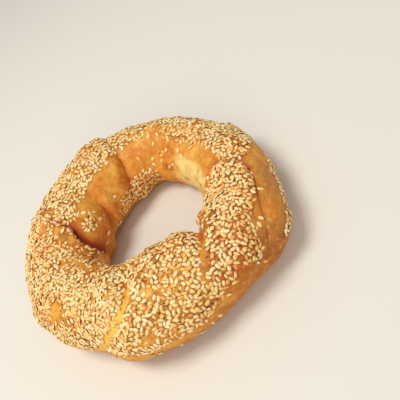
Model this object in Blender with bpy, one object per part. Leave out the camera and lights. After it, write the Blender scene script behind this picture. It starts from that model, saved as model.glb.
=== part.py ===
# A koulouri: a ring of twisted bread rope, about 16 cm across, with sesame seeds baked onto its crust.
# It lies flat on its baked underside. Metres, +Z up, the origin on the table under the middle of the ring.
#
# A place on the crust is given by two angles in degrees:
#   around goes round the ring, from +X towards +Y
#   over goes round the rope: 0 is the outer flank, 90 the top, 180 the wall of the hole, -90 the underside
import math

import bmesh
import bpy
import numpy as np
from mathutils import Matrix
from mathutils.bvhtree import BVHTree

# The hand-rolled ring at twelve places, every 30 degrees round it: radius of the rope's middle line, and
# half the rope's width
RING_STATIONS = (
    (0.0555, 0.0212), (0.0564, 0.0212), (0.0585, 0.0227), (0.0557, 0.0275), (0.0553, 0.0276),
    (0.0548, 0.0280), (0.0605, 0.0257), (0.0577, 0.0241), (0.0569, 0.0266), (0.0547, 0.0245),
    (0.0602, 0.0221), (0.0576, 0.0217),
)
ROPE_HEIGHT_TO_WIDTH = 0.84

# The rope is widest at this share of its height, and pressed flat on the tray by this factor
BELLY_HEIGHT = 0.45
TRAY_PRESS = 1.25

# Folds of the twist. A route is a list of (around, over) along the fold's crease. depths says how far the
# crust sinks there and laps how far the left is lifted over the right, both at equal shares of the way.
# width is how far the dough rolls in on the left and on the right. sharp goes from a soft valley, 0, to two
# rolls in a cusp, 1.
FOLDS = {
    "back_fold": dict(
        route=((0, -40), (6, 5), (9, 40), (10, 75), (6, 100)),
        depths=(0, 0.0015, 0.0022, 0.0015, 0),
        laps=(0, 0.0006, 0),
        width=(0.0070, 0.0070),
        sharp=0.4,
    ),
    "far_dip": dict(
        route=((30, 40), (34, 80), (36, 110), (39, 140), (46, 170)),
        depths=(0, 0.0010, 0.0014, 0.0010, 0),
        laps=(0, 0),
        width=(0.0080, 0.0080),
        sharp=0,
    ),
    "far_fold": dict(
        route=(
            (78, -30), (78, 20), (76, 65), (74, 90), (72, 110), (72, 128), (73, 145), (76, 168), (81, 188),
            (88, 215),
        ),
        depths=(0, 0.0014, 0.0020, 0.0017, 0.0024, 0.0034, 0.0036, 0.0034, 0.0016, 0),
        laps=(0, -0.0006, -0.0008, 0),
        width=(0.0070, 0.0045),
        sharp=0.7,
    ),
    "inner_tuck": dict(
        route=((111, 126), (114, 145), (117, 163), (121, 181), (128, 198), (133, 215), (136, 233)),
        depths=(0, 0.0016, 0.0026, 0.0032, 0.0036, 0.0030, 0),
        laps=(0, 0.0010, 0.0010, 0),
        width=(0.0040, 0.0080),
        sharp=0.5,
    ),
    "deep_fold": dict(
        route=(
            (134, 58), (138, 76), (143, 94), (149, 109), (152, 119), (155, 129), (161, 137), (167, 147),
            (170, 161), (170, 174), (167, 187), (165, 200), (167, 215), (168, 230),
        ),
        depths=(
            0, 0.0006, 0.0016, 0.0030, 0.0042, 0.0052, 0.0060, 0.0064, 0.0064, 0.0060, 0.0055, 0.0046, 0.0028,
            0,
        ),
        laps=(0, -0.0008, -0.0014, -0.0014, 0),
        width=(0.0115, 0.0040),
        sharp=0.9,
    ),
    "left_dip": dict(
        route=((188, -20), (192, 20), (197, 46), (202, 75)),
        depths=(0, 0.0013, 0.0013, 0),
        laps=(0, 0),
        width=(0.0080, 0.0080),
        sharp=0,
    ),
    "front_valley": dict(
        route=(
            (212, -50), (217, -15), (224, 12), (230, 34), (234, 52), (237, 70), (239, 88), (235, 108),
            (227, 134),
        ),
        depths=(0, 0.0012, 0.0016, 0.0020, 0.0024, 0.0030, 0.0034, 0.0024, 0),
        laps=(0, 0.0003, 0),
        width=(0.0080, 0.0090),
        sharp=0.25,
    ),
    "hole_notch": dict(
        route=((265, 46), (271, 56), (277, 71), (282, 86), (286, 104), (289, 125), (291, 150), (292, 190)),
        depths=(0, 0.0008, 0.0020, 0.0040, 0.0066, 0.0080, 0.0064, 0),
        laps=(0, -0.0004, -0.0004, 0),
        width=(0.0075, 0.0050),
        sharp=0.5,
    ),
    "lap_joint": dict(
        route=(
            (288, -40), (292, 0), (297, 20), (304, 38), (312, 51), (320, 58), (327, 63), (332, 76), (334, 92),
            (334, 108), (331, 124), (327, 146), (320, 180),
        ),
        depths=(
            0, 0.0006, 0.0010, 0.0015, 0.0020, 0.0026, 0.0030, 0.0032, 0.0030, 0.0028, 0.0022, 0.0014, 0,
        ),
        laps=(-0.0004, -0.0020, -0.0016, -0.0002, 0.0010, 0.0014, 0.0012, 0.0006, 0),
        width=(0.0035, 0.0070),
        sharp=0.8,
    ),
}
# The dough swells along each fold, by this share of its depth and out to this many times its width
SHOULDER_RISE = 0.16
SHOULDER_REACH = 2.2
LAP_REACH = 0.0085
ROUTE_STEPS = 6

# Swells and dents that the hands left, as (around, over, half size around, half size over, amount)
HAND_MARKS = (
    (303, -12, 12, 38, 0.0033), (247, -25, 9, 30, -0.0018), (284, -25, 8, 30, -0.0020),
    (328, -8, 9, 28, -0.0014), (264, -32, 8, 25, 0.0009), (214, -10, 8, 30, -0.0017),
    (233, -22, 6, 25, 0.0013), (186, 12, 8, 25, 0.0014), (176, 27, 9, 30, -0.0013),
    (160, 40, 7, 25, -0.0019), (112, 52, 7, 25, -0.0018), (86, 54, 6, 25, 0.0012), (71, 60, 7, 25, -0.0016),
    (34, 42, 7, 25, -0.0012), (294, 158, 9, 28, -0.0020), (302, 136, 6, 20, 0.0012),
    (342, 176, 10, 25, -0.0012), (20, 200, 11, 25, 0.0018), (56, 222, 9, 28, -0.0050),
    (72, 220, 6, 25, 0.0030), (89, 225, 8, 28, -0.0034), (126, 216, 8, 25, -0.0030),
    (147, 222, 5, 22, 0.0010), (158, 222, 6, 25, -0.0052), (275, 132, 6, 25, 0.0011),
    (262, 138, 10, 25, -0.0009), (232, 148, 6, 22, -0.0007),
)

# Low swells of the crust, as waves of (count round the ring, count over the rope, amount, phase)
CRUST_SWELLS = ((9, 2, 0.00045, 40), (14, -3, 0.00032, 110), (23, 4, 0.00020, 250), (6, 5, 0.00025, 10))

# Folds and swells die out towards the underside, between these two angles from straight down
PRESSED_FLAT = 25
FULLY_ROUND = 85

# The plain ring that the crust's mesh is made from
PLAIN_RADIUS = 0.057
PLAIN_HALF_WIDTH = 0.024

# Steps of the crust's mesh. Those over the rope are crowded towards the top by up to this angle.
AROUND_STEPS = 108
OVER_STEPS = 24
TOP_CROWDING = 24

# Which of the mesh's lines over the rope is drawn onto a fold's crease, and how much closer the lines
# stand there
CREASE_LINES = {
    "back_fold": 2, "far_fold": 22, "deep_fold": 48, "front_valley": 69, "hole_notch": 83, "lap_joint": 95,
}
CREASE_CROWDING = 0.45

# One sesame seed, a flat drop. Those of the solid stand for the many more on the real crust.
SEED_LENGTH = 0.0036
SEED_WIDTH = 0.0024
SEED_THICKNESS = 0.0018
SEED_NARROWING = 0.45
SEED_LEAN = 6
SEED_SIDES = 6
SEED_RINGS = 4
SEED_SPACING = 0.0108
SEED_THROWS = 6000
RANDOM_SEED = 11

# Where the crust is seeded: at each place round the ring, between which two angles over the rope
SEEDED_BAND = (
    (0, 25, 100), (20, 15, 106), (40, 12, 104), (60, 12, 112), (75, 10, 122), (100, 8, 127), (130, 8, 128),
    (150, 5, 126), (160, 3, 128), (168, 2, 150), (175, 2, 166), (190, 2, 165), (200, 4, 150),
    (215, 4, 140), (225, 4, 150), (250, -4, 155), (262, 0, 155), (270, 6, 155), (278, 20, 155),
    (287, 12, 150), (292, 33, 150), (300, 48, 145), (310, 58, 143), (320, 61, 140), (326, 64, 124),
    (331, 92, 102), (334, 45, 95), (360, 25, 100),
)
# Seeded patches beside that band and bare ones in it, as (around, over, half size around, half size over)
SEEDED_PATCHES = (
    (60, 182, 18, 24), (82, 186, 12, 14), (92, 182, 9, 10), (106, 194, 6, 8), (148, 150, 10, 12),
    (25, 160, 5, 6), (34, 148, 4, 20), (22, 122, 6, 9), (330, 14, 8, 9), (318, 9, 9, 8), (306, 2, 8, 7),
)
BARE_PATCHES = ((234, 48, 4, 28), (198, 46, 5, 25))
LOWEST_SEEDED = -5
HIGHEST_SEEDED = 210

# The middle of the ring's box, which is moved to the origin
MIDDLE = (-0.00446, 0.00208)

CRUST_COLOUR = (0.66, 0.33, 0.09, 1.0)
CRUST_ROUGHNESS = 0.45
SHARP_EDGE = math.radians(35)


def clear_scene():
    for thing in list(bpy.data.objects):
        bpy.data.objects.remove(thing)


def turned(angle):
    # The same angle, from -180 to 180
    return (angle + 180) % 360 - 180


def soft_step(low, high, value):
    # From 0 below low to 1 above high
    share = np.clip((value - low) / (high - low), 0, 1)
    return share * share * (3 - 2 * share)


def smooth_curve(before, start, end, after, share):
    # A Catmull-Rom curve from start to end
    bend = (2 * before - 5 * start + 4 * end - after) * share**2
    twist = (3 * start - before - 3 * end + after) * share**3
    return 0.5 * (2 * start + (end - before) * share + bend + twist)


def ring_station(around):
    # The radius of the rope's middle line and half its width, at any place round the ring
    place = around % 360 / 360 * len(RING_STATIONS)
    station = np.floor(place).astype(int)
    radius, half_width = np.array(RING_STATIONS).T
    near = [(station + step) % len(RING_STATIONS) for step in (-1, 0, 1, 2)]
    share = place - station
    radius_here = smooth_curve(*(radius[index] for index in near), share)
    half_width_here = smooth_curve(*(half_width[index] for index in near), share)
    return radius_here, half_width_here


def smooth_route(points):
    points = [np.array(point, float) for point in points]
    points = [2 * points[0] - points[1], *points, 2 * points[-1] - points[-2]]
    curve = []
    for corners in zip(points, points[1:], points[2:], points[3:]):
        curve += [smooth_curve(*corners, step / ROUTE_STEPS) for step in range(ROUTE_STEPS)]
    return curve + [points[-2]]


def beside_route(route, around, over):
    # For each place: its distance from the route, the side it is on (1 left, -1 right), and its share of
    # the way along
    radius, half_width = ring_station(around)
    metres_around = np.radians(1) * (radius + half_width * np.cos(np.radians(over)))
    metres_over = np.radians(1) * half_width
    nearest = np.full(np.shape(around), np.inf)
    side = np.zeros(np.shape(around))
    along = np.zeros(np.shape(around))
    for index, (start, end) in enumerate(zip(route, route[1:])):
        x = turned(around - start[0]) * metres_around
        y = turned(over - start[1]) * metres_over
        run_x = (end[0] - start[0]) * metres_around
        run_y = (end[1] - start[1]) * metres_over
        share = np.clip((x * run_x + y * run_y) / (run_x**2 + run_y**2), 0, 1)
        distance = np.hypot(x - share * run_x, y - share * run_y)
        nearer = distance < nearest
        nearest = np.where(nearer, distance, nearest)
        side = np.where(nearer, np.sign(run_x * y - run_y * x), side)
        along = np.where(nearer, (index + share) / (len(route) - 1), along)
    return nearest, side, along


def fold_relief(route, depths, width, laps, sharp, around, over):
    distance, side, along = beside_route(smooth_route(route), around, over)
    depth = np.interp(along, np.linspace(0, 1, len(depths)), depths)
    lap = np.interp(along, np.linspace(0, 1, len(laps)), laps)
    width = np.where(side > 0, *width)
    inward = 1 - np.clip(distance / width, 0, 1)
    cusp = 1 - np.sqrt(1 - inward**2)
    valley = 0.5 - 0.5 * np.cos(math.pi * inward)
    crease = valley + sharp * (cusp - valley)
    shoulder = SHOULDER_RISE * np.exp(-((distance / (SHOULDER_REACH * width)) ** 2))
    lifted = lap * side * (1 - inward) * np.exp(-((distance / LAP_REACH) ** 2))
    return depth * (shoulder - (1 + SHOULDER_RISE) * crease) + lifted


def crust_relief(around, over):
    # How far the crust stands out of the plain rope
    relief = sum(fold_relief(**fold, around=around, over=over) for fold in FOLDS.values())
    for middle, height, half_around, half_over, amount in HAND_MARKS:
        away = (turned(around - middle) / half_around) ** 2 + (turned(over - height) / half_over) ** 2
        relief = relief + amount * np.exp(-away)
    for count_around, count_over, amount, phase in CRUST_SWELLS:
        relief = relief + amount * np.sin(np.radians(count_around * around + count_over * over + phase))
    return relief * soft_step(PRESSED_FLAT, FULLY_ROUND, np.abs(turned(over + 90)))


def crust_points(around, over):
    # Points of the crust, flat where it lies on the tray
    radius, half_width = ring_station(around)
    height = 2 * half_width * ROPE_HEIGHT_TO_WIDTH
    relief = crust_relief(around, over)
    out, up = np.cos(np.radians(over)), np.sin(np.radians(over))
    rise = np.where(up > 0, (1 - BELLY_HEIGHT) * up, BELLY_HEIGHT * TRAY_PRESS * up)
    radius = radius + (half_width + relief) * out
    z = np.maximum(height * (BELLY_HEIGHT + rise) + relief * up, 0)
    turn = np.radians(around)
    return np.stack([radius * np.cos(turn), radius * np.sin(turn), z], axis=-1)


def along_creases(around, over):
    # Draws the lines of a plain ring onto the creases, with the rest spread between them
    placed = []
    for name, line in CREASE_LINES.items():
        route = np.array(smooth_route(FOLDS[name]["route"]))
        placed.append((line * 360 / AROUND_STEPS, np.interp(over, route[:, 1], route[:, 0], period=360)))
    placed.append((placed[0][0] + 360, placed[0][1] + 360))
    drawn = np.zeros(np.shape(around))
    for (line, crease), (next_line, next_crease) in zip(placed, placed[1:]):
        share = (around - line) % 360 / (next_line - line)
        crowded = share - CREASE_CROWDING * np.sin(2 * np.pi * share) / (2 * np.pi)
        drawn = np.where(share < 1, crease + crowded * (next_crease - crease), drawn)
    return drawn


def bread_ring():
    # A circle spun into a plain ring, whose points are then moved out to the crust
    ring = bmesh.new()
    bmesh.ops.create_circle(ring, segments=OVER_STEPS, radius=PLAIN_HALF_WIDTH)
    bmesh.ops.rotate(ring, verts=ring.verts, matrix=Matrix.Rotation(math.pi / 2, 3, "X"))
    bmesh.ops.translate(ring, verts=ring.verts, vec=(PLAIN_RADIUS, 0, 0))
    bmesh.ops.spin(
        ring, geom=ring.verts[:] + ring.edges[:], axis=(0, 0, 1), cent=(0, 0, 0),
        angle=2 * math.pi, steps=AROUND_STEPS, use_merge=True,
    )
    x, y, z = np.array([vertex.co for vertex in ring.verts]).T
    around = np.degrees(np.arctan2(y, x))
    over = np.degrees(np.arctan2(z, np.hypot(x, y) - PLAIN_RADIUS))
    over += TOP_CROWDING * np.cos(np.radians(over))
    around = along_creases(around.round(3), over)
    for vertex, point in zip(ring.verts, crust_points(around, over)):
        vertex.co = point
    bmesh.ops.recalc_face_normals(ring, faces=ring.faces)
    return ring


def in_patch(patches, around, over):
    inside = np.zeros(np.shape(around), bool)
    for middle, height, half_around, half_over in patches:
        inside |= (turned(around - middle) / half_around) ** 2 + ((over - height) / half_over) ** 2 < 1
    return inside


def is_seeded(around, over):
    places, lowest, highest = zip(*SEEDED_BAND)
    in_band = (over > np.interp(around, places, lowest)) & (over < np.interp(around, places, highest))
    return (in_band & ~in_patch(BARE_PATCHES, around, over)) | in_patch(SEEDED_PATCHES, around, over)


def seed_shape():
    # A low ball, drawn out to a seed's length and narrowed towards one end
    seed = bmesh.new()
    bmesh.ops.create_uvsphere(seed, u_segments=SEED_SIDES, v_segments=SEED_RINGS, radius=0.5)
    bmesh.ops.rotate(seed, verts=seed.verts, matrix=Matrix.Rotation(math.pi / 2, 3, "Y"))
    for vertex in seed.verts:
        narrowed = 1 - SEED_NARROWING * (vertex.co.x + 0.5)
        vertex.co.y *= narrowed
        vertex.co.z *= narrowed
    bmesh.ops.scale(seed, verts=seed.verts, vec=(SEED_LENGTH, SEED_WIDTH, SEED_THICKNESS))
    shape = bpy.data.meshes.new("sesame_seed")
    seed.to_mesh(shape)
    seed.free()
    return shape


def strew_seeds(ring, collection):
    # Seeds thrown at the seeded crust one by one, and kept where they land clear of those before
    draw = np.random.default_rng(RANDOM_SEED)
    around = draw.uniform(0, 360, SEED_THROWS)
    over = draw.uniform(LOWEST_SEEDED, HIGHEST_SEEDED, SEED_THROWS)
    spin = draw.uniform(-math.pi, math.pi, SEED_THROWS)
    lean = np.radians(draw.uniform(-SEED_LEAN, SEED_LEAN, SEED_THROWS))
    seeded = is_seeded(around, over)
    shape = seed_shape()
    crust = BVHTree.FromBMesh(ring)
    kept = []
    for point, turn, tip in zip(crust_points(around, over)[seeded], spin[seeded], lean[seeded]):
        spot, outward, _, _ = crust.find_nearest(point)
        if any((spot - other).length < SEED_SPACING for other in kept):
            continue
        kept.append(spot)
        seed = bpy.data.objects.new(f"seed_{len(kept)}", shape)
        upright = outward.to_track_quat("Z", "X").to_matrix()
        lying = upright @ Matrix.Rotation(turn, 3, "Z") @ Matrix.Rotation(tip, 3, "Y")
        seed.matrix_world = Matrix.Translation(spot) @ lying.to_4x4()
        collection.objects.link(seed)


def baked_crust():
    material = bpy.data.materials.new("baked_crust")
    material.use_nodes = True
    shader = material.node_tree.nodes["Principled BSDF"]
    shader.inputs["Base Color"].default_value = CRUST_COLOUR
    shader.inputs["Roughness"].default_value = CRUST_ROUGHNESS
    shader.inputs["Metallic"].default_value = 0
    return material


def fuse_seeds(koulouri, sesame):
    union = koulouri.modifiers.new("fuse_seeds", "BOOLEAN")
    union.operation = "UNION"
    union.operand_type = "COLLECTION"
    union.collection = sesame
    union.solver = "EXACT"
    bpy.context.view_layer.objects.active = koulouri
    bpy.ops.object.modifier_apply(modifier=union.name)
    for seed in list(sesame.objects):
        bpy.data.objects.remove(seed)
    bpy.data.collections.remove(sesame)


def make_koulouri():
    ring = bread_ring()
    crust = bpy.data.meshes.new("koulouri")
    ring.to_mesh(crust)
    crust.materials.append(baked_crust())
    koulouri = bpy.data.objects.new("koulouri", crust)
    bpy.context.scene.collection.objects.link(koulouri)
    sesame = bpy.data.collections.new("sesame")
    bpy.context.scene.collection.children.link(sesame)
    strew_seeds(ring, sesame)
    ring.free()
    fuse_seeds(koulouri, sesame)
    koulouri.data.transform(Matrix.Translation((-MIDDLE[0], -MIDDLE[1], 0)))
    koulouri.data.set_sharp_from_angle(angle=SHARP_EDGE)


clear_scene()
make_koulouri()
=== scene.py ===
# A koulouri: a ring of twisted bread rope, baked golden, with sesame seeds all over its crust
# Three pieces are made here: the crust, in place of the part's plain solid, and its seeds in two tones
# Metres, +Z up, with the origin on the table under the middle of the ring
#
# A place on the crust is given by two angles in degrees:
#   around goes round the ring, from +X towards +Y
#   over goes round the rope: 0 is the outer flank, 90 the top, 180 the wall of the hole, -90 the underside
import math

import bmesh
import bpy
import numpy as np
from mathutils import Matrix, Vector, noise


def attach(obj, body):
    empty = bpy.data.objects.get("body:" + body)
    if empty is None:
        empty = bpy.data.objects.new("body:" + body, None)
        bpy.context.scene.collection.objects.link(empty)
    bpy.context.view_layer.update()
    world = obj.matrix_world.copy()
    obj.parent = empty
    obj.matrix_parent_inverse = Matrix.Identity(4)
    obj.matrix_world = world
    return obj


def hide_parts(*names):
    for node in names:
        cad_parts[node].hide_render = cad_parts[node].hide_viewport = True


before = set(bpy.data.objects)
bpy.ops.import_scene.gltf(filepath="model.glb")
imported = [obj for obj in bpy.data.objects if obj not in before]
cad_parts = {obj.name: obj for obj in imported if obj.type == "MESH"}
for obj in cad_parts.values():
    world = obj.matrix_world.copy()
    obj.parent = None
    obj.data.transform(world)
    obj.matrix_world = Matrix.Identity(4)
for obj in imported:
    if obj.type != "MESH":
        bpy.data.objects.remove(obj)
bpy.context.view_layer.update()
print("frame loaded, nodes:", len(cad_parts))


# Small helpers

def softStep(low, high, value):
    share = np.clip((value - low) / (high - low), 0, 1)  # from 0 below low to 1 above high
    return share * share * (3 - 2 * share)


def turned(angle):
    return (angle + 180) % 360 - 180  # the same angle, from -180 to 180


def smoothCurve(before, start, end, after, share):
    bend = (2 * before - 5 * start + 4 * end - after) * share**2
    twist = (3 * start - before - 3 * end + after) * share**3
    return 0.5 * (2 * start + (end - before) * share + bend + twist)


cloudSteps = (7.31, 3.17, 5.53)  # how far one cloud lies from the next in the noise


def cloud(points, size, number):
    # Smooth noise with lumps of about this size, from about -1 to 1, and another cloud for each number
    shift = Vector([number * step for step in cloudSteps])
    return np.array([noise.noise(Vector(point) / size + shift) for point in points])


def paint(red, green, blue):
    # A colour as a paint shop gives it, 0 to 255, in the linear values that a shader takes
    return tuple(((c / 255 + 0.055) / 1.055) ** 2.4 for c in (red, green, blue)) + (1.0,)


# The crust's shape

rope = {
    # radius of the rope's middle line and half its width, at equal steps round the ring
    "stations": (
        (0.0555, 0.0212), (0.0564, 0.0212), (0.0585, 0.0227), (0.0557, 0.0275), (0.0553, 0.0276),
        (0.0548, 0.0280), (0.0605, 0.0257), (0.0577, 0.0241), (0.0569, 0.0266), (0.0547, 0.0245),
        (0.0602, 0.0221), (0.0576, 0.0217),
    ),
    "heightToWidth": 0.84,  # the rope's height as a share of its width
    "bellyHeight": 0.45,  # where the rope is widest, as a share of its height
    "trayPress": 1.25,  # how hard the underside is pressed flat
    "shrink": 0.0003,  # the bare crust lies this far inside the solid, whose seeds stand out
    "middle": (-0.00446, 0.00208),  # the middle of the ring, which goes to the origin
    # swells and dents that the hands left, as (around, over, half size around, half size over, amount)
    "handMarks": (
        (303, -12, 12, 38, 0.0033), (247, -25, 9, 30, -0.0018), (284, -25, 8, 30, -0.0020),
        (328, -8, 9, 28, -0.0014), (264, -32, 8, 25, 0.0009), (214, -10, 8, 30, -0.0017),
        (233, -22, 6, 25, 0.0013), (186, 12, 8, 25, 0.0014), (176, 27, 9, 30, -0.0013),
        (160, 40, 7, 25, -0.0019), (112, 52, 7, 25, -0.0018), (86, 54, 6, 25, 0.0012),
        (71, 60, 7, 25, -0.0016), (34, 42, 7, 25, -0.0012), (294, 158, 9, 28, -0.0020),
        (302, 136, 6, 20, 0.0012), (342, 176, 10, 25, -0.0012), (20, 200, 11, 25, 0.0018),
        (56, 222, 9, 28, -0.0050), (72, 220, 6, 25, 0.0030), (89, 225, 8, 28, -0.0034),
        (126, 216, 8, 25, -0.0030), (147, 222, 5, 22, 0.0010), (158, 222, 6, 25, -0.0052),
        (275, 132, 6, 25, 0.0011), (262, 138, 10, 25, -0.0009), (232, 148, 6, 22, -0.0007),
    ),
    # gentle swells all over, as (waves round the ring, waves round the rope, amount, phase)
    "swells": ((9, 2, 0.00045, 40), (14, -3, 0.00032, 110), (23, 4, 0.00020, 250), (6, 5, 0.00025, 10)),
    "pressedFlat": 25,  # degrees from straight down, between which folds and swells die out
    "fullyRound": 85,
    "shoulderRise": 0.16,  # how far the dough bulges beside a fold, as a share of its depth
    "shoulderReach": 2.2,  # how far that bulge reaches, in widths of the fold
    "lapReach": 0.0085,  # how far the lift of a fold's edge reaches
    "routeSteps": 6,  # short steps from one point of a route to the next
}

# Each fold's route as (around, over), how deep it sinks and how far its left is lifted over its right, both
# at equal shares of the way, how far the dough rolls in on the left and the right, how sharp it is, and how
# dark its crease is coloured, partly by a darker bake and partly by painted shade in the crease
folds = {
    "backFold": dict(
        route=((0, -40), (6, 5), (9, 40), (10, 75), (6, 100)),
        depths=(0, 0.0015, 0.0022, 0.0015, 0),
        laps=(0, 0.0006, 0),
        width=(0.0070, 0.0070),
        sharp=0.4,
        stainAndShade=0.3,
    ),
    "farDip": dict(
        route=((30, 40), (34, 80), (36, 110), (39, 140), (46, 170)),
        depths=(0, 0.0010, 0.0014, 0.0010, 0),
        laps=(0, 0),
        width=(0.0080, 0.0080),
        sharp=0,
        stainAndShade=0.0,
    ),
    "farFold": dict(
        route=(
            (78, -30), (78, 20), (76, 65), (74, 90), (72, 110), (72, 128), (73, 145), (76, 168), (81, 188),
            (88, 215),
        ),
        depths=(0, 0.0014, 0.0020, 0.0017, 0.0024, 0.0034, 0.0036, 0.0034, 0.0016, 0),
        laps=(0, -0.0006, -0.0008, 0),
        width=(0.0070, 0.0045),
        sharp=0.7,
        stainAndShade=0.45,
    ),
    "innerTuck": dict(
        route=((111, 126), (114, 145), (117, 163), (121, 181), (128, 198), (133, 215), (136, 233)),
        depths=(0, 0.0016, 0.0026, 0.0032, 0.0036, 0.0030, 0),
        laps=(0, 0.0010, 0.0010, 0),
        width=(0.0040, 0.0080),
        sharp=0.5,
        stainAndShade=0.7,
    ),
    "deepFold": dict(
        route=(
            (134, 58), (138, 76), (143, 94), (149, 109), (152, 119), (155, 129), (161, 137), (167, 147),
            (170, 161), (170, 174), (167, 187), (165, 200), (167, 215), (168, 230),
        ),
        depths=(
            0, 0.0006, 0.0016, 0.0030, 0.0042, 0.0052, 0.0060, 0.0064, 0.0064, 0.0060, 0.0055, 0.0046, 0.0028,
            0,
        ),
        laps=(0, -0.0008, -0.0014, -0.0014, 0),
        width=(0.0115, 0.0040),
        sharp=0.9,
        stainAndShade=1.0,
    ),
    "leftDip": dict(
        route=((188, -20), (192, 20), (197, 46), (202, 75)),
        depths=(0, 0.0013, 0.0013, 0),
        laps=(0, 0),
        width=(0.0080, 0.0080),
        sharp=0,
        stainAndShade=0.0,
    ),
    "frontValley": dict(
        route=(
            (212, -50), (217, -15), (224, 12), (230, 34), (234, 52), (237, 70), (239, 88), (235, 108),
            (227, 134),
        ),
        depths=(0, 0.0012, 0.0016, 0.0020, 0.0024, 0.0030, 0.0034, 0.0024, 0),
        laps=(0, 0.0003, 0),
        width=(0.0080, 0.0090),
        sharp=0.25,
        stainAndShade=0.25,
    ),
    "holeNotch": dict(
        route=((265, 46), (271, 56), (277, 71), (282, 86), (286, 104), (289, 125), (291, 150), (292, 190)),
        depths=(0, 0.0008, 0.0020, 0.0040, 0.0066, 0.0080, 0.0064, 0),
        laps=(0, -0.0004, -0.0004, 0),
        width=(0.0075, 0.0050),
        sharp=0.5,
        stainAndShade=0.25,
    ),
    "lapJoint": dict(
        route=(
            (288, -40), (292, 0), (297, 20), (304, 38), (312, 51), (320, 58), (327, 63), (332, 76), (334, 92),
            (334, 108), (331, 124), (327, 146), (320, 180),
        ),
        depths=(
            0, 0.0006, 0.0010, 0.0015, 0.0020, 0.0026, 0.0030, 0.0032, 0.0030, 0.0028, 0.0022, 0.0014, 0,
        ),
        laps=(-0.0004, -0.0020, -0.0016, -0.0002, 0.0010, 0.0014, 0.0012, 0.0006, 0),
        width=(0.0035, 0.0070),
        sharp=0.8,
        stainAndShade=0.9,
    ),
}

crust = {
    "plainRadius": 0.057,
    "plainHalfWidth": 0.024,
    "aroundSteps": 432,  # points round the ring
    "overSteps": 210,  # points round the rope
    "topCrowding": 24,  # degrees by which the steps over the rope are drawn to its top
    # the place in the plain ring, in parts of 108, of the mesh line that is drawn onto each crease
    "creaseLines": {
        "backFold": 2, "farFold": 22, "deepFold": 48, "frontValley": 69, "holeNotch": 83, "lapJoint": 95,
    },
    "creaseLineCount": 108,
    "creaseCrowding": 0.45,  # how much the lines crowd at the creases
    # the dough's own unevenness: size of the lumps, how far they stand out
    "lumps": ((0.016, 0.00042), (0.0065, 0.00026), (0.0024, 0.00010)),
    "lumpCloud": 3,  # the number of the first lumps' cloud
    "deepCrease": 0.0028,  # the depth at which a crease counts as 1 in the material
    "bakeSoftness": 0.8,  # the share of a zone's size over which its bake fades
}

# Parts of the crust with a bake, wrinkles or painted shade of their own, as (around, over, half size around,
# half size over)
bakeZones = {
    "gold": (
        (198, 44, 7, 30), (215, 60, 48, 56), (262, 66, 20, 46), (190, 130, 20, 18), (164, 118, 14, 16),
        (9, 118, 14, 14), (241, 10, 16, 30), (126, 140, 14, 14), (45, 80, 44, 34), (108, 74, 40, 44),
    ),
    "pale": ((354, 148, 40, 27), (336, 140, 16, 18), (0, 174, 30, 34), (344, 160, 24, 30)),
    "rosy": (
        (150, 178, 32, 26), (118, 172, 16, 24), (78, 172, 8, 26), (208, 142, 10, 12), (68, 186, 28, 20),
        (196, 160, 12, 12),
    ),
    "rust": (
        (31, 160, 9, 13), (238, 96, 5, 8), (228, 57, 3, 8), (275, 91, 5, 9), (253, 108, 5, 8),
        (290, 44, 10, 10), (285, 50, 12, 34), (279, 30, 10, 16), (70, 198, 24, 18), (238, 92, 5, 12),
        (205, 149, 14, 10),
    ),
    "amber": ((312, 80, 34, 60), (128, 88, 12, 20), (163, 120, 9, 14), (273, 54, 5, 14)),
    "olive": ((320, 34, 22, 26), (300, 14, 16, 20), (149, 205, 14, 13)),
    "wrinkled": ((316, 44, 18, 14), (292, 24, 14, 22), (302, 34, 10, 14)),
    "brown": ((312, 4, 26, 16), (296, -12, 20, 18), (297, 4, 12, 18), (296, 24, 12, 20), (106, 206, 20, 10)),
    # painted shade in and beside the lap joint's valley, and a few small dark spots
    "dark": (
        (334, 74, 6, 26), (336, 100, 8, 12), (236, 96, 4, 14), (5, 171, 5, 10), (347, 157, 4, 8),
        (334, 151, 4, 8),
    ),
    "flank": ((274, -24, 34, 30), (250, -34, 20, 20), (284, 22, 16, 20), (286, 8, 22, 26)),
    "bright": ((249, 67, 6, 8), (150, 70, 5, 6)),
}


def ropeAt(around):
    place = around % 360 / 360 * len(rope["stations"])
    station = np.floor(place).astype(int)
    radius, halfWidth = np.array(rope["stations"]).T
    near = [(station + step) % len(rope["stations"]) for step in (-1, 0, 1, 2)]
    share = place - station
    radiusHere = smoothCurve(*(radius[index] for index in near), share)
    halfWidthHere = smoothCurve(*(halfWidth[index] for index in near), share)
    return radiusHere, halfWidthHere


def smoothRoute(points):
    points = [np.array(point, float) for point in points]
    points = [2 * points[0] - points[1], *points, 2 * points[-1] - points[-2]]
    curve = []
    steps = rope["routeSteps"]
    for corners in zip(points, points[1:], points[2:], points[3:]):
        curve += [smoothCurve(*corners, step / steps) for step in range(steps)]
    return curve + [points[-2]]


def besideRoute(route, around, over):
    # For each place: its distance from the route, the side it is on, and its share of the way along
    radius, halfWidth = ropeAt(around)
    metresAround = np.radians(1) * (radius + halfWidth * np.cos(np.radians(over)))
    metresOver = np.radians(1) * halfWidth
    nearest = np.full(np.shape(around), np.inf)
    side = np.zeros(np.shape(around))
    along = np.zeros(np.shape(around))
    for index, (start, end) in enumerate(zip(route, route[1:])):
        x = turned(around - start[0]) * metresAround
        y = turned(over - start[1]) * metresOver
        runX = (end[0] - start[0]) * metresAround
        runY = (end[1] - start[1]) * metresOver
        share = np.clip((x * runX + y * runY) / (runX**2 + runY**2), 0, 1)
        distance = np.hypot(x - share * runX, y - share * runY)
        nearer = distance < nearest
        nearest = np.where(nearer, distance, nearest)
        side = np.where(nearer, np.sign(runX * y - runY * x), side)
        along = np.where(nearer, (index + share) / (len(route) - 1), along)
    return nearest, side, along


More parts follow.
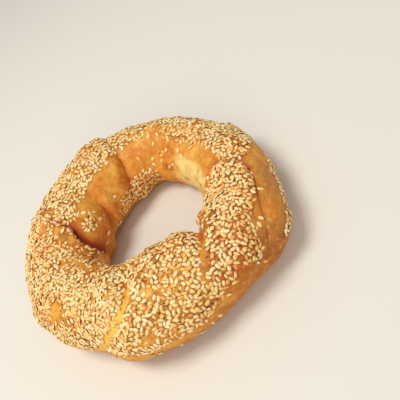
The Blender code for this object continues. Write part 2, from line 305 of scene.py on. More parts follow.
def foldRelief(fold, around, over):
    # How far the crust stands out beside a fold, how far it sinks at the crease, and a softer form of that
    distance, side, along = besideRoute(smoothRoute(fold["route"]), around, over)
    depth = np.interp(along, np.linspace(0, 1, len(fold["depths"])), fold["depths"])
    lap = np.interp(along, np.linspace(0, 1, len(fold["laps"])), fold["laps"])
    width = np.where(side > 0, *fold["width"])
    inward = 1 - np.clip(distance / width, 0, 1)
    cusp = 1 - np.sqrt(1 - inward**2)
    valley = 0.5 - 0.5 * np.cos(math.pi * inward)
    crease = valley + fold["sharp"] * (cusp - valley)
    shoulder = rope["shoulderRise"] * np.exp(-((distance / (rope["shoulderReach"] * width)) ** 2))
    lifted = lap * side * (1 - inward) * np.exp(-((distance / rope["lapReach"]) ** 2))
    stands = depth * (shoulder - (1 + rope["shoulderRise"]) * crease) + lifted
    return stands, depth * cusp, depth**2 * valley**3 / max(fold["depths"])


def crustShape(around, over):
    # The crust's points, the way out at each, how deep in a crease, how darkly its crease is stained and
    # painted with shade, and how free of the tray
    relief = np.zeros(np.shape(around))
    creased = np.zeros(np.shape(around))
    stainedAndShaded = np.zeros(np.shape(around))
    for fold in folds.values():
        foldOut, foldIn, foldNear = foldRelief(fold, around, over)
        relief += foldOut
        creased = np.maximum(creased, foldIn)
        stainedAndShaded = np.maximum(stainedAndShaded, fold["stainAndShade"] * (foldIn + foldNear) / 2)
    for middle, height, halfAround, halfOver, amount in rope["handMarks"]:
        away = (turned(around - middle) / halfAround) ** 2 + (turned(over - height) / halfOver) ** 2
        relief += amount * np.exp(-away)
    for countAround, countOver, amount, phase in rope["swells"]:
        relief += amount * np.sin(np.radians(countAround * around + countOver * over + phase))
    free = softStep(rope["pressedFlat"], rope["fullyRound"], np.abs(turned(over + 90)))
    relief = relief * free - rope["shrink"]
    radius, halfWidth = ropeAt(around)
    height = 2 * halfWidth * rope["heightToWidth"]
    out, up = np.cos(np.radians(over)), np.sin(np.radians(over))
    belly = rope["bellyHeight"]
    rise = np.where(up > 0, (1 - belly) * up, belly * rope["trayPress"] * up)
    turn = np.radians(around)
    outward = np.stack([out * np.cos(turn), out * np.sin(turn), up], axis=-1)
    radius = radius + halfWidth * out
    z = height * (belly + rise)
    points = np.stack([radius * np.cos(turn), radius * np.sin(turn), z], axis=-1)
    points += relief[..., None] * outward
    points[..., 0] -= rope["middle"][0]
    points[..., 1] -= rope["middle"][1]
    return points, outward, creased, stainedAndShaded, free


def alongCreases(around, over):
    # Draws lines of the plain ring onto the creases, with the rest spread between them
    placed = []
    for name, line in crust["creaseLines"].items():
        route = np.array(smoothRoute(folds[name]["route"]))
        crease = np.interp(over, route[:, 1], route[:, 0], period=360)
        placed.append((line * 360 / crust["creaseLineCount"], crease))
    placed.append((placed[0][0] + 360, placed[0][1] + 360))
    drawn = np.zeros(np.shape(around))
    for (line, crease), (nextLine, nextCrease) in zip(placed, placed[1:]):
        share = (around - line) % 360 / (nextLine - line)
        crowded = share - crust["creaseCrowding"] * np.sin(2 * np.pi * share) / (2 * np.pi)
        drawn = np.where(share < 1, crease + crowded * (nextCrease - crease), drawn)
    return drawn


def inZone(patches, around, over, softness):
    # 1 well inside the patches, 0 outside, with a soft edge
    inside = np.zeros(np.shape(around))
    for middle, height, halfAround, halfOver in patches:
        away = np.hypot(turned(around - middle) / halfAround, turned(over - height) / halfOver)
        inside = np.maximum(inside, 1 - softStep(1 - softness, 1, away))
    return inside


def addAttribute(mesh, name, values):
    mesh.attributes.new(name, "FLOAT", "POINT").data.foreach_set("value", np.asarray(values, np.float32))


def plainPlace(point):
    # Where a point of the plain ring lies, in rounded degrees, as one number to sort by
    around = math.degrees(math.atan2(point.y, point.x))
    over = math.degrees(math.atan2(point.z, math.hypot(point.x, point.y) - crust["plainRadius"]))
    return 1000 * (round(around, 2) % 360) + round(over, 2) % 360


def makeCrust():
    ring = bmesh.new()
    bmesh.ops.create_circle(ring, segments=crust["overSteps"], radius=crust["plainHalfWidth"])
    bmesh.ops.rotate(ring, verts=ring.verts, matrix=Matrix.Rotation(math.pi / 2, 3, "X"))
    bmesh.ops.translate(ring, verts=ring.verts, vec=(crust["plainRadius"], 0, 0))
    bmesh.ops.spin(
        ring, geom=ring.verts[:] + ring.edges[:], axis=(0, 0, 1), cent=(0, 0, 0),
        angle=2 * math.pi, steps=crust["aroundSteps"], use_merge=True,
    )
    # the spin leaves points and faces in a chance order, and the seeds are thrown by theirs
    ring.verts.sort(key=lambda vertex: plainPlace(vertex.co))
    ring.faces.sort(key=lambda face: plainPlace(face.calc_center_median()))
    x, y, z = np.array([vertex.co for vertex in ring.verts]).T
    around = np.degrees(np.arctan2(y, x))
    over = np.degrees(np.arctan2(z, np.hypot(x, y) - crust["plainRadius"]))
    over += crust["topCrowding"] * np.cos(np.radians(over))
    around = alongCreases(around.round(3), over)
    points, outward, creased, stainedAndShaded, free = crustShape(around, over)
    uneven = sum(
        amount * cloud(points, size, crust["lumpCloud"] + step)
        for step, (size, amount) in enumerate(crust["lumps"])
    )
    points += (uneven * free)[:, None] * outward
    points[:, 2] = np.maximum(points[:, 2], 0)
    for vertex, point in zip(ring.verts, points):
        vertex.co = point
    bmesh.ops.recalc_face_normals(ring, faces=ring.faces)
    mesh = bpy.data.meshes.new("koulouri_crust")
    ring.to_mesh(mesh)
    ring.free()
    mesh.shade_smooth()
    seeded = seededShare(around, over, creased)
    # the creases' darker bake and painted shade, as a share of the deepest
    addAttribute(mesh, "creased", stainedAndShaded / crust["deepCrease"])
    addAttribute(mesh, "seeded", seeded)
    addAttribute(mesh, "underside", 1 - free)
    softness = crust["bakeSoftness"]
    baked = {name: inZone(patches, around, over, softness) for name, patches in bakeZones.items()}
    # the first band is also brighter
    baked["bright"] = np.maximum(baked["bright"], inBands(around, over, seeding["bareBands"][:1]))
    for name, share in baked.items():
        addAttribute(mesh, name, share)
    distance, side, _ = besideRoute(smoothRoute(folds["lapJoint"]["route"]), around, over)
    addAttribute(mesh, "fromJoint", distance * side)
    piece = bpy.data.objects.new("koulouri_crust", mesh)
    bpy.context.scene.collection.objects.link(piece)
    print("crust:", len(mesh.vertices), "points")
    return piece, around, over, seeded


# The sesame seeds

seeds = {
    "length": 0.00330,
    "width": 0.00228,
    "thickness": 0.00118,
    "narrowing": 0.42,  # how much of its width a seed loses towards its tip
    "thinning": 0.5,  # the share of that by which its thickness narrows
    "unevenness": 0.11,  # how much the seeds differ in each of their sizes
    "mostUneven": 2,  # the largest difference, in parts of that
    "bend": 0.10,  # how far a seed's ends bend aside, as a share of half its length
    "sides": 8,
    "rings": 5,
    "sunk": 0.00005,  # how deep a seed sits in the crust
    "heaped": 0.0004,  # how far seeds ride up on others where they lie close
    "lean": 12,  # degrees by which seeds lean where they lie close, and twice what they lean elsewhere
    "throws": 90000,
    "scatter": 0.0002,  # how far from the middle of a face of the crust a seed lands
    "crossing": (0.31, 0.17, 0.93),  # any direction, from which the seeds' turning is counted
    "clumpSize": 0.0085,  # size of the bare spots between clumps
    "clumpBounds": (-0.37, -0.11),  # the noise below which the crust is bare, and above which it is seeded
    "clumpCloud": 21,
    "strays": 0.03,  # chance of a seed in a bare spot
    "closeness": (0.62, 0.50),  # share of its width that a seed keeps clear, where they lie loose and close
    "browning": (0.39, 0.27),  # how brown the seeds are, from 0 to 1, and how much they differ
    "brownClouds": (0.02, 9, 0.25),  # parts where they are browner or paler: size, cloud, amount
    "brownPatches": 0.3,  # how much browner they are in the toasted patches
    "brownFrom": 0.45,  # from here on a seed belongs to the browned ones
    "randomSeed": 11,
}

# Where the seeds lie: places as (around, over), patches as (around, over, half size around, half size over)
seeding = {
    # at each place round the ring, between which two angles over the rope the crust is seeded
    "band": (
        (0, 25, 100), (10, 20, 108), (20, 15, 112), (30, 12, 108), (40, 12, 100), (60, 12, 106),
        (72, 10, 118), (100, 8, 127), (130, 8, 128), (150, 5, 126), (160, 3, 128), (168, 2, 150),
        (175, 2, 166), (190, 2, 165), (200, 4, 150), (215, 4, 140), (225, 2, 150), (232, 2, 150),
        (240, -8, 152), (250, -12, 155), (262, -7, 155), (270, 3, 155), (277, 21, 155), (283, 32, 152),
        (286, 16, 150), (289, 9, 150), (292, 22, 150), (296, 36, 148), (300, 48, 145), (310, 58, 143),
        (320, 61, 140), (326, 64, 124), (331, 92, 102), (334, 45, 95), (360, 25, 100),
    ),
    "bandEdges": (6, 5),  # degrees to either side of the lower and the upper edge where seeds get fewer
    "bandWaves": ((11, 2.5, 0), (29, 1.8, 70)),  # the lower edge's wavering: waves, degrees, phase
    "flank": (26, 12, 0.05),  # how far below the band a few seeds fell, from where to where, and how few
    "underneath": 50,  # degrees from straight down within which there are none
    "creases": (0.0010, 0.0024),  # depth of crease at which seeds get fewer, and at which there are none
    # seeded patches outside the band
    "seeded": dict(
        softness=0.3,
        patches=(
            (60, 182, 18, 24), (82, 186, 12, 14), (92, 182, 9, 10), (106, 194, 6, 8), (148, 150, 10, 12),
            (330, 14, 8, 9), (318, 9, 9, 8), (306, 2, 8, 7), (64, 202, 20, 13), (84, 199, 12, 10),
            (104, 201, 7, 6), (118, 202, 5, 5), (298, 78, 8, 14), (261, 4, 5, 8),
        ),
    ),
    # where they lie closest
    "crowded": dict(
        softness=0.6,
        patches=(
            (205, 60, 55, 90), (150, 60, 36, 70), (118, 70, 30, 60), (325, 110, 18, 24), (50, 60, 40, 40),
            (68, 184, 24, 24), (215, 130, 20, 20), (308, 95, 24, 50),
        ),
    ),
    "bare": dict(
        softness=0.4,
        patches=(
            (242, 20, 4, 10), (198, 46, 5, 25), (192, 128, 12, 9), (203, 138, 11, 9), (158, 110, 6, 9),
            (162, 120, 5, 10), (166, 131, 5, 9), (199, 149, 12, 9), (150, 88, 6, 7), (44, 116, 14, 9),
        ),
    ),
    "thinned": dict(
        softness=0.6,
        patches=(
            (249, 67, 6, 10), (48, 92, 16, 16), (186, 112, 14, 10), (238, 74, 7, 16), (281, 28, 8, 13),
        ),
    ),
    # where the seeds are coloured browner
    "toasted": dict(
        softness=0.6,
        patches=(
            (57, 182, 20, 30), (28, 92, 12, 12), (300, 62, 26, 14), (106, 194, 10, 12), (160, 90, 26, 34),
            (204, 46, 18, 34), (291, 34, 9, 22), (282, 30, 12, 18),
        ),
    ),
    # bare bands where the dough has stretched: each route, and how far the band reaches to either side of it
    "bareBands": (
        (((216, -4), (222, 18), (228, 34), (233, 51), (237, 64), (241, 76)), 0.0032),
        (((288, 122), (285, 98), (281, 80), (276, 64), (272, 50), (270, 36)), 0.0022),
    ),
    "bandRipples": ((9, 0.25), (23, 0.15)),  # their uneven edges: ripples round the rope, share of the reach
    "bandWidth": (1.1, 0.45),  # their width at the start, and how much of it is lost towards the end
    "bandSoftness": (0.75, 1.1),  # where the edge starts and ends, in shares of that width
    # the share of the seeds that is missing in the bare patches, the bare bands and the thinned patches
    "bareShare": 0.94,
    "bareBandShare": 0.97,
    "thinnedShare": 0.72,
    # seeds that lie alone
    "lone": (
        (24, 115), (29, 113), (29, 128), (34, 131), (36, 138), (37, 149), (16, 125), (12, 131), (25, 153),
        (21, 155), (45, 144), (45, 154), (49, 161), (45, 165), (57, 161), (42, 118), (57, 137), (5, 114),
        (17, 105), (54, 106), (98, 165), (127, 167), (138, 160), (148, 181), (156, 187), (166, 186),
        (236, 45), (232, 24), (246, 70), (301, 38), (299, 36), (277, 15), (273, 4), (287, 9), (140, 132),
        (136, 145), (132, 150), (127, 166), (138, 138), (28, 158), (23, 160), (19, 157), (92, 198),
    ),
}


def inPatches(name, around, over):
    return inZone(seeding[name]["patches"], around, over, seeding[name]["softness"])


def inBands(around, over, bands):
    # 1 in the bands, 0 outside, with an uneven edge
    inside = np.zeros(np.shape(around))
    wide, lost = seeding["bandWidth"]
    edgeStart, edgeEnd = seeding["bandSoftness"]
    for route, reach in bands:
        distance, _, along = besideRoute(smoothRoute(route), around, over)
        uneven = sum(share * np.sin(np.radians(over) * count) for count, share in seeding["bandRipples"])
        edge = reach * (wide + uneven - lost * along)
        inside = np.maximum(inside, 1 - softStep(edgeStart * edge, edgeEnd * edge, distance))
    return inside


def seededShare(around, over, creased):
    # 1 where seeds lie close, 0 where the crust is bare
    places, lowest, highest = zip(*seeding["band"])
    low = np.interp(around % 360, places, lowest)
    for waves, amount, phase in seeding["bandWaves"]:
        low = low + amount * np.sin(np.radians(waves * around + phase))
    high = np.interp(around % 360, places, highest)
    lowEdge, highEdge = seeding["bandEdges"]
    share = softStep(low - lowEdge, low + lowEdge, turned(over))
    share = share * (1 - softStep(high - highEdge, high + highEdge, turned(over) % 360))
    farthest, nearest, few = seeding["flank"]
    onFlank = softStep(low - farthest, low - nearest, turned(over)) * (turned(over) < low)
    share = np.maximum(share, few * onFlank)
    share = np.where(np.abs(turned(over + 90)) < seeding["underneath"], 0, share)
    share = share * (1 - seeding["bareShare"] * inPatches("bare", around, over))
    share = share * (1 - seeding["bareBandShare"] * inBands(around, over, seeding["bareBands"]))
    share = share * (1 - seeding["thinnedShare"] * inPatches("thinned", around, over))
    share = np.maximum(share, inPatches("seeded", around, over))
    return share * (1 - softStep(*seeding["creases"], creased))


def seedShape():
    # A low ball, drawn out to a seed's length and narrowed towards its tip; each seed has a few dozen faces
    seed = bmesh.new()
    bmesh.ops.create_uvsphere(seed, u_segments=seeds["sides"], v_segments=seeds["rings"], radius=0.5)
    bmesh.ops.rotate(seed, verts=seed.verts, matrix=Matrix.Rotation(math.pi / 2, 3, "Y"))
    for vertex in seed.verts:
        share = vertex.co.x + 0.5
        vertex.co.y *= 1 - seeds["narrowing"] * share**2
        vertex.co.z *= 1 - seeds["thinning"] * seeds["narrowing"] * share
    bmesh.ops.scale(seed, verts=seed.verts, vec=(seeds["length"], seeds["width"], seeds["thickness"]))
    bmesh.ops.recalc_face_normals(seed, faces=seed.faces)
    corners = np.array([vertex.co for vertex in seed.verts])
    faces = [[vertex.index for vertex in face.verts] for face in seed.faces]
    seed.free()
    return corners, faces


def throwSeeds(piece, around, over, seeded):
    # Seeds thrown at the crust one by one, and kept where they land clear of those before
    draw = np.random.default_rng(seeds["randomSeed"])
    mesh = piece.data
    centres = np.array([face.center for face in mesh.polygons])
    normals = np.array([face.normal for face in mesh.polygons])
    areas = np.array([face.area for face in mesh.polygons])
    corners = np.array([min(face.vertices) for face in mesh.polygons])
    clumps = softStep(*seeds["clumpBounds"], cloud(centres, seeds["clumpSize"], seeds["clumpCloud"]))
    clumps = np.maximum(clumps, inPatches("seeded", around[corners], over[corners]))
    chance = areas * seeded[corners] ** 2 * (seeds["strays"] + (1 - seeds["strays"]) * clumps)
    thrown = draw.choice(len(centres), seeds["throws"], p=chance / chance.sum())
    for index, (middle, height) in enumerate(seeding["lone"]):
        away = np.hypot(turned(around[corners] - middle), turned(over[corners] - height))
        thrown[index] = np.argmin(away)
    spin = draw.uniform(-math.pi, math.pi, seeds["throws"])
    across = np.cross(normals[thrown], seeds["crossing"])
    across /= np.linalg.norm(across, axis=1)[:, None]
    beside = np.cross(normals[thrown], across)
    length = np.cos(spin)[:, None] * across + np.sin(spin)[:, None] * beside
    spots = centres[thrown] + draw.normal(0, seeds["scatter"], (seeds["throws"], 3))
    # each seed keeps the room of three balls in a row
    step = (seeds["length"] - seeds["width"]) / 2
    room = seeds["width"] * max(seeds["closeness"])
    close = inPatches("crowded", around[corners[thrown]], over[corners[thrown]])
    loose, tight = seeds["closeness"]
    clear = seeds["width"] * (loose + (tight - loose) * close)
    balls = np.stack([spots - step * length, spots, spots + step * length], axis=1)
    taken = {}
    kept = []
    for index, row in enumerate(balls):
        cells = [tuple(cell) for cell in np.floor(row / room).astype(int)]
        crowd = [
            other
            for x, y, z in cells
            for dx in (-1, 0, 1) for dy in (-1, 0, 1) for dz in (-1, 0, 1)
            for other in taken.get((x + dx, y + dy, z + dz), ())
        ]
        if crowd:
            gaps = np.linalg.norm(np.array(crowd)[None] - row[:, None], axis=2)
            if gaps.min() < clear[index]:
                continue
        kept.append(index)
        for cell, ball in zip(cells, row):
            taken.setdefault(cell, []).append(ball)
    print("seeds:", len(kept), "of", seeds["throws"], "thrown")
    return spots[kept], normals[thrown][kept], length[kept], corners[thrown][kept], close[kept]


def makeSeeds(crustPiece, around, over, seeded):
    spots, normals, length, places, close = throwSeeds(crustPiece, around, over, seeded)
    draw = np.random.default_rng(seeds["randomSeed"] + 1)
    count = len(spots)
    shape, faces = seedShape()
    lean = np.radians(draw.normal(0, seeds["lean"] / 2, (count, 2))) * (1 + close[:, None])
    normals = normals + np.sin(lean[:, :1]) * length + np.sin(lean[:, 1:]) * np.cross(normals, length)
    normals /= np.linalg.norm(normals, axis=1)[:, None]
    length = length - np.sum(length * normals, axis=1)[:, None] * normals
    length /= np.linalg.norm(length, axis=1)[:, None]
    width = np.cross(normals, length)
    most = seeds["mostUneven"]
    size = 1 + seeds["unevenness"] * draw.normal(0, 1, (count, 1, 3)).clip(-most, most)
    corners = shape[None] * size
    bend = draw.normal(0, seeds["bend"], (count, 1))
    corners[:, :, 1] += bend * shape[None, :, 0] ** 2 / seeds["length"] * 2
    corners[:, :, 2] += seeds["heaped"] * (close * draw.random(count) ** 2)[:, None] - seeds["sunk"]
    placed = spots[:, None] + sum(
        corners[:, :, index, None] * way[:, None] for index, way in enumerate((length, width, normals))
    )
    brown, spread = seeds["browning"]
    cloudSize, cloudNumber, cloudAmount = seeds["brownClouds"]
    toasted = brown + spread * draw.normal(0, 1, count) + cloudAmount * cloud(spots, cloudSize, cloudNumber)
    toasted += seeds["brownPatches"] * inPatches("toasted", around[places], over[places])
    browned = toasted >= seeds["brownFrom"]
    made = []
    for name, chosen in (("pale_sesame", ~browned), ("browned_sesame", browned)):
        mesh = bpy.data.meshes.new(name)
        number = int(chosen.sum())
        starts = range(0, number * len(shape), len(shape))
        allFaces = [[corner + start for corner in face] for start in starts for face in faces]
        mesh.from_pydata(placed[chosen].reshape(-1, 3).tolist(), [], allFaces)
        mesh.shade_smooth()
        addAttribute(mesh, "toasted", np.repeat(toasted[chosen].clip(0, 1), len(shape)))
        addAttribute(mesh, "height", np.tile(shape[:, 2] / seeds["thickness"] + 0.5, number))
        piece = bpy.data.objects.new(name, mesh)
        bpy.context.scene.collection.objects.link(piece)
        made.append(piece)
        triangles = number * 2 * seeds["sides"] * (seeds["rings"] - 1)
        print(name + ":", number, "seeds,", triangles, "triangles")
    return made


# The finishes

def newMaterial(name):
    material = bpy.data.materials.new(name)
    material.use_nodes = True
    return material, material.node_tree, material.node_tree.nodes["Principled BSDF"]


def addNode(tree, kind, **values):
    node = tree.nodes.new(kind)
    for name, value in values.items():
        if isinstance(value, bpy.types.NodeSocket):
            tree.links.new(value, node.inputs[name])
        elif name in node.inputs:
            node.inputs[name].default_value = value
        else:
            setattr(node, name, value)
    return node


def readAttribute(tree, name):
    return addNode(tree, "ShaderNodeAttribute", attribute_name=name).outputs["Fac"]


def rangeOf(tree, value, low, high, toLow, toHigh):
    node = addNode(tree, "ShaderNodeMapRange", Value=value)
    for name, number in (("From Min", low), ("From Max", high), ("To Min", toLow), ("To Max", toHigh)):
        node.inputs[name].default_value = number
    return node.outputs["Result"]


def times(tree, one, other):
    node = addNode(tree, "ShaderNodeMath", operation="MULTIPLY")
    tree.links.new(one, node.inputs[0])
    if isinstance(other, bpy.types.NodeSocket):
        tree.links.new(other, node.inputs[1])
    else:
        node.inputs[1].default_value = other
    return node.outputs[0]


def mixed(tree, share, colour, other):
    node = addNode(tree, "ShaderNodeMix", data_type="RGBA")
    tree.links.new(share, node.inputs["Factor"])
    for socket, value in ((node.inputs[6], colour), (node.inputs[7], other)):
        if isinstance(value, bpy.types.NodeSocket):
            tree.links.new(value, socket)
        else:
            socket.default_value = value
    return node.outputs[2]


def mottling(tree, size, detail, roughness):
    # Noise on object coordinates with spots of about this size, in metres
    where = addNode(tree, "ShaderNodeTexCoord").outputs["Object"]
    values = {"Scale": 1 / size, "Detail": detail, "Roughness": roughness}
    return addNode(tree, "ShaderNodeTexNoise", Vector=where, **values).outputs["Fac"]


crustFinish = {
    "golden": paint(216, 138, 44),
    "light": paint(240, 178, 78),
    "mottle": paint(212, 120, 36),
    "wrinkle": paint(140, 70, 26),
    # darker crust between close seeds: partly browning, partly painted shade
    "between": paint(194, 116, 40),  # the crust between close seeds
    # painted shadow in the gaps between close seeds
    "gapShadow": paint(100, 46, 14),  # small dark spots between close seeds
    "amber": paint(165, 84, 26),
    "rust": paint(184, 78, 30),
    "olive": paint(196, 128, 52),
    "brown": paint(146, 72, 30),
    "gold": paint(238, 168, 62),
    "bright": paint(252, 200, 90),
    "pale": paint(250, 218, 134),
    "rosy": paint(202, 104, 40),
    # painted shade in and beside the lap joint's valley, and a few small dark spots
    "dark": paint(150, 74, 26),
    "flank": paint(176, 94, 32),
    # the creases' red-brown: partly a darker bake, partly painted shade in the crease
    "crease": paint(168, 58, 22),
    # painted shadow along the deepest part of each crease
    "deepestShadow": paint(122, 34, 12),
    "speck": paint(90, 44, 16),
    "underside": paint(196, 134, 66),
    # the noises: size of their spots, detail, roughness
    "noises": {
        "broad": (0.018, 3.0, 0.5),
        "fine": (0.0035, 3.0, 0.5),
        "stretched": (0.0075, 4.0, 0.62),
        "blistered": (0.0028, 4.0, 0.65),
        # the spots of painted shadow between seeds
        "gaps": (0.0012, 1.0, 0.5),
        "specks": (0.0022, 1.0, 0.5),
        "pores": (0.0009, 5.0, 0.6),
    },
    # how a layer follows its noise or attribute: between which two values, and how strong it is at each
    "layers": {
        "light": (0.35, 0.65, 0.0, 1.0),
        "mottle": (0.48, 0.60, 0.0, 0.8),
        "between": (0.3, 0.7, 0.55, 1.0),
        "patchy": (0.35, 0.65, 1.0, 0.45),
        "wrinkle": (0.50, 0.70, 0.0, 0.34),
        "bright": (0.48, 0.30, 0.0, 0.38),
        "wave": (-0.2, 0.9, 0.0, 1.0),
        "gapShadow": (0.54, 0.63, 0.0, 1.0),
        "crease": (0.16, 1.1, 0.0, 1.0),
        "deepestShadow": (1.0, 1.9, 0.0, 0.85),
        "underside": (0.2, 0.9, 0.0, 1.0),
        "speck": (0.74, 0.80, 0.0, 1.0),
        "roughness": (0.3, 0.7, 0.42, 0.62),
    },
    # how strong each zone's bake is, in the order in which the zones are laid on
    "zones": {
        "gold": 0.75, "pale": 1.6, "rosy": 0.8, "flank": 0.85, "amber": 0.9, "olive": 0.85, "brown": 0.8,
        "dark": 0.7, "rust": 0.9, "bright": 0.95,
    },
    "wrinkleWidth": 0.0019,
    "wrinkleWander": 26.0,  # how much the wrinkles beside the lap joint wander
    "wrinkleStrength": 0.3,
    "gapShadowStrength": 0.9,
    "creaseBakeAndShadeStrength": 0.9,
    "speckStrength": 0.7,
    "specular": 0.22,
    "dents": {"Strength": 0.5, "Distance": 0.0016},
    "pits": {"Strength": 0.4, "Distance": 0.0003},
}


def layer(tree, name, value):
    # How strongly a layer shows where its noise or attribute has this value
    return rangeOf(tree, value, *crustFinish["layers"][name])


def bakedCrust():
    material, tree, shader = newMaterial("baked_crust")
    noises = {name: mottling(tree, *values) for name, values in crustFinish["noises"].items()}
    seeded = readAttribute(tree, "seeded")
    creased = readAttribute(tree, "creased")
    # the bake as a whole, and where seeds lie close a darker crust, partly browning and partly painted shade
    # between the seeds
    golden, light = crustFinish["golden"], crustFinish["light"]
    colour = mixed(tree, layer(tree, "light", noises["broad"]), golden, light)
    colour = mixed(tree, layer(tree, "mottle", noises["stretched"]), colour, crustFinish["mottle"])
    between = times(tree, seeded, layer(tree, "between", noises["fine"]))
    colour = mixed(tree, between, colour, crustFinish["between"])
    # the zones with a bake of their own; the dark zone is partly painted shade
    patchy = layer(tree, "patchy", noises["stretched"])
    for zone, strength in crustFinish["zones"].items():
        share = times(tree, times(tree, readAttribute(tree, zone), patchy), strength)
        colour = mixed(tree, share, colour, crustFinish[zone])
    # small blisters, dark and bright
    colour = mixed(tree, layer(tree, "wrinkle", noises["blistered"]), colour, crustFinish["wrinkle"])
    colour = mixed(tree, layer(tree, "bright", noises["blistered"]), colour, crustFinish["bright"])
    # wrinkles that run beside the lap joint
    along = addNode(tree, "ShaderNodeMath", operation="MULTIPLY_ADD")
    tree.links.new(readAttribute(tree, "fromJoint"), along.inputs[0])
    along.inputs[1].default_value = 2 * math.pi / crustFinish["wrinkleWidth"]
    tree.links.new(times(tree, noises["broad"], crustFinish["wrinkleWander"]), along.inputs[2])
    wave = addNode(tree, "ShaderNodeMath", operation="SINE")
    tree.links.new(along.outputs[0], wave.inputs[0])
    wrinkles = times(tree, layer(tree, "wave", wave.outputs[0]), readAttribute(tree, "wrinkled"))
    wrinkles = times(tree, wrinkles, crustFinish["wrinkleStrength"])
    colour = mixed(tree, wrinkles, colour, crustFinish["wrinkle"])
    # painted shadow in the gaps between seeds, the creases' darker bake and painted shade, the underside and
    # specks
    gaps = times(tree, layer(tree, "gapShadow", noises["gaps"]), seeded)
    colour = mixed(tree, times(tree, gaps, crustFinish["gapShadowStrength"]), colour, crustFinish["gapShadow"])
    # the creases' darker bake and painted shade
    crease = times(tree, layer(tree, "crease", creased), crustFinish["creaseBakeAndShadeStrength"])
    colour = mixed(tree, crease, colour, crustFinish["crease"])
    # painted shadow along the deepest part of each crease
    colour = mixed(tree, layer(tree, "deepestShadow", creased), colour, crustFinish["deepestShadow"])
    underside = layer(tree, "underside", readAttribute(tree, "underside"))
    colour = mixed(tree, underside, colour, crustFinish["underside"])
    specks = times(tree, layer(tree, "speck", noises["specks"]), crustFinish["speckStrength"])
    colour = mixed(tree, specks, colour, crustFinish["speck"])
    tree.links.new(colour, shader.inputs["Base Color"])
    tree.links.new(layer(tree, "roughness", noises["fine"]), shader.inputs["Roughness"])
    shader.inputs["Specular IOR Level"].default_value = crustFinish["specular"]
    dents = addNode(tree, "ShaderNodeBump", Height=noises["stretched"], **crustFinish["dents"])
    dented = dents.outputs["Normal"]
    pits = addNode(tree, "ShaderNodeBump", Height=noises["pores"], Normal=dented, **crustFinish["pits"])
    tree.links.new(pits.outputs["Normal"], shader.inputs["Normal"])
    return material


seedFinish = {
    "pale": paint(252, 226, 162),
    "golden": paint(247, 200, 116),
    "toasted": paint(230, 154, 80),
    # painted shade: each seed darkens towards its foot, where it meets the crust
    "footShade": paint(142, 72, 22),  # where a seed meets the crust
    "toGolden": (0.1, 0.6, 0.0, 1.0),  # how toasted a seed is where this colour starts, and where it is full
    "toToasted": (0.6, 1.0, 0.0, 1.0),
    "toFootShade": (0.74, 0.46, 0.0, 1.0),  # the height on the seed, from 1 at its top to 0
    "roughness": 0.5,
    "grain": (0.0006, 2.0, 0.5),
    "bump": {"Strength": 0.2, "Distance": 0.0001},
}


def toastedSesame():
    material, tree, shader = newMaterial("toasted_sesame")
    toasted = readAttribute(tree, "toasted")
    toGolden = rangeOf(tree, toasted, *seedFinish["toGolden"])
    colour = mixed(tree, toGolden, seedFinish["pale"], seedFinish["golden"])
    toToasted = rangeOf(tree, toasted, *seedFinish["toToasted"])
    colour = mixed(tree, toToasted, colour, seedFinish["toasted"])
    # painted shade at each seed's foot
    toFootShade = rangeOf(tree, readAttribute(tree, "height"), *seedFinish["toFootShade"])
    colour = mixed(tree, toFootShade, colour, seedFinish["footShade"])
    tree.links.new(colour, shader.inputs["Base Color"])
    shader.inputs["Roughness"].default_value = seedFinish["roughness"]
    grain = mottling(tree, *seedFinish["grain"])
    bump = addNode(tree, "ShaderNodeBump", Height=grain, **seedFinish["bump"])
    tree.links.new(bump.outputs["Normal"], shader.inputs["Normal"])
    return material


# The studio

studio = {
    "floor": paint(229, 222, 207),
    "floorSize": 3.0,
    "floorRoughness": 0.9,
    "sky": paint(237, 238, 242),
    "skyStrength": 0.52,
    # name: place, what it is aimed at, size, power
    "lights": {
        "top_softbox": ((-0.34, 0.03, 1.20), (0, 0, 0.02), 0.58, 9.7),
        "front_fill": ((-0.70, -1.30, 0.80), (0, 0, 0.02), 0.90, 7.0),
    },
    "cameraElevation": 42.0,
    "cameraDistance": 0.280,
    "cameraAim": (0.00446, -0.00208, 0.018),
    "cameraRoll": -43.09,
    "sensor": 36.0,
    "lens": 42.5,
    "shift": (0.1295, 0.0533),
    "nearest": 0.01,  # the camera sees nothing nearer than this
}


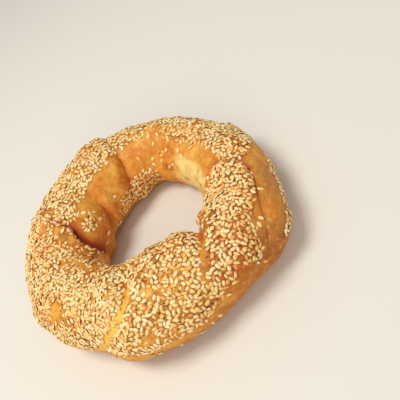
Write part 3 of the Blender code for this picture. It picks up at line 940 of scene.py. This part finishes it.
def makeStudio():
    floorMesh = bmesh.new()
    bmesh.ops.create_grid(floorMesh, x_segments=1, y_segments=1, size=studio["floorSize"] / 2)
    mesh = bpy.data.meshes.new("studio_floor")
    floorMesh.to_mesh(mesh)
    floorMesh.free()
    floor = bpy.data.objects.new("studio_floor", mesh)
    bpy.context.scene.collection.objects.link(floor)
    material, _, shader = newMaterial("pale_floor")
    shader.inputs["Base Color"].default_value = studio["floor"]
    shader.inputs["Roughness"].default_value = studio["floorRoughness"]
    mesh.materials.append(material)
    world = bpy.data.worlds.new("studio")
    world.use_nodes = True
    background = world.node_tree.nodes["Background"]
    background.inputs["Color"].default_value = studio["sky"]
    background.inputs["Strength"].default_value = studio["skyStrength"]
    bpy.context.scene.world = world
    for name, (place, aim, size, power) in studio["lights"].items():
        data = bpy.data.lights.new(name, "AREA")
        data.shape = "DISK"
        data.size = size
        data.energy = power
        lamp = bpy.data.objects.new(name, data)
        lamp.location = place
        lamp.rotation_euler = (Vector(aim) - Vector(place)).to_track_quat("-Z", "Y").to_euler()
        bpy.context.scene.collection.objects.link(lamp)


def makeCamera():
    raised, roll = math.radians(studio["cameraElevation"]), math.radians(studio["cameraRoll"])
    back = Vector((0, -math.cos(raised), math.sin(raised)))
    turn = back.to_track_quat("Z", "Y").to_matrix() @ Matrix.Rotation(roll, 3, "Z")
    data = bpy.data.cameras.new("camera")
    data.sensor_width = studio["sensor"]
    data.lens = studio["lens"]
    data.shift_x, data.shift_y = studio["shift"]
    data.clip_start = studio["nearest"]
    camera = bpy.data.objects.new("camera", data)
    place = Vector(studio["cameraAim"]) + back * studio["cameraDistance"]
    camera.matrix_world = Matrix.Translation(place) @ turn.to_4x4()
    bpy.context.scene.collection.objects.link(camera)
    bpy.context.scene.camera = camera


makeCamera()
makeStudio()
bpy.context.scene.view_settings.view_transform = "Standard"
print("camera, floor and lights made")
crustPiece, crustAround, crustOver, crustSeeded = makeCrust()
crustPiece.data.materials.append(bakedCrust())
seedPieces = makeSeeds(crustPiece, crustAround, crustOver, crustSeeded)
sesame = toastedSesame()
for piece in seedPieces:
    piece.data.materials.append(sesame)
for piece in (crustPiece, *seedPieces):
    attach(piece, "root")
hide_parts("koulouri")
print("pieces ride on the part")
